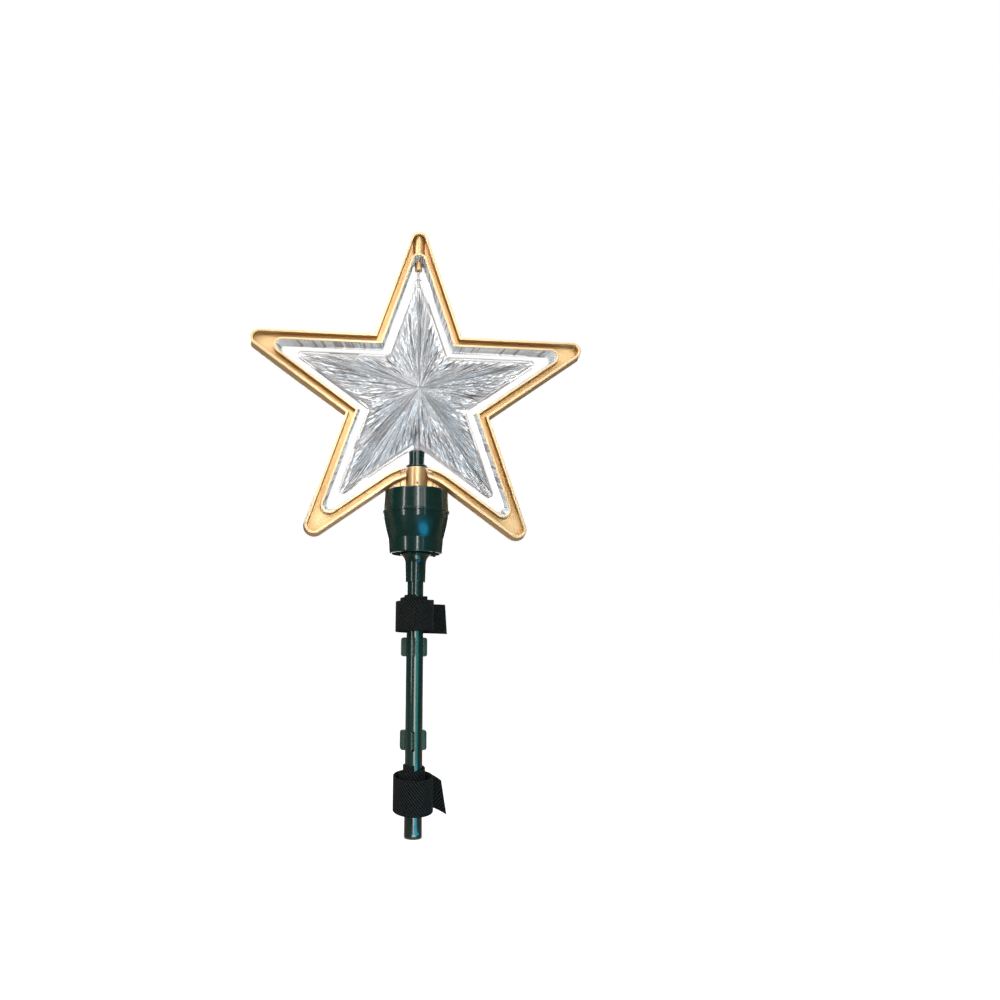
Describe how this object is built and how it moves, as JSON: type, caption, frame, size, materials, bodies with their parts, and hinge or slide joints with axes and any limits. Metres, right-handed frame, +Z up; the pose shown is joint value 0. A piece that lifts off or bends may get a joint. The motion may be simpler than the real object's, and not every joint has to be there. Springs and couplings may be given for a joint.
{
  "type": "christmas tree topper star",
  "caption": "Five-pointed gold frame with a lit clear band and a motor-driven clear star turning inside it, on a strapped pole for a tree's top.",
  "frame": {"origin": "centre of the pole's lower end, which is the middle of the lowest plane", "axes": "+Z up along the pole to the star's top point, -Y out of the star's front, +X to the right seen from the front"},
  "size_m": [0.3048, 0.0588, 0.5334],
  "materials": {
    "gold": "satin metallic",
    "clear_plastic": "clear, prismatic",
    "green_plastic": "gloss",
    "steel": "bright",
    "lamp": "matt",
    "nylon": "matt",
    "motor_case": "satin",
    "black_rubber": "matt",
    "strap": "woven"
  },
  "bodies": {
    "base": {"front_frame": "gold", "rear_frame": "gold", "frame_screws": "steel", "light_band": "clear_plastic", "led_lamps": "lamp", "top_bearing": "gold", "hub_sleeve": "gold", "hub_bush": "nylon", "housing_cap": "green_plastic", "housing_body": "green_plastic", "foot_screws": "steel", "motor_plate": "nylon", "gear_motor": "motor_case", "motor_screws": "steel", "neck_socket": "green_plastic", "neck_screws": "steel", "cord_gland": "black_rubber", "pole_stem": "green_plastic", "pole_tube": "green_plastic", "upper_bracket": "green_plastic", "lower_bracket": "green_plastic", "bracket_rivets": "steel", "upper_strap": "strap", "lower_strap": "strap"},
    "spinner": {"spinner_front": "clear_plastic", "spinner_rear": "clear_plastic", "spinner_stem": "clear_plastic", "top_pin": "steel", "drive_coupling": "green_plastic", "motor_shaft": "steel"}
  },
  "joints": [
    {"name": "star_spin", "type": "hinge", "parent": "base", "child": "spinner", "pos_m": [0, 0, 0.37365], "axis": [0, 0, 1], "continuous": true}
  ]
}
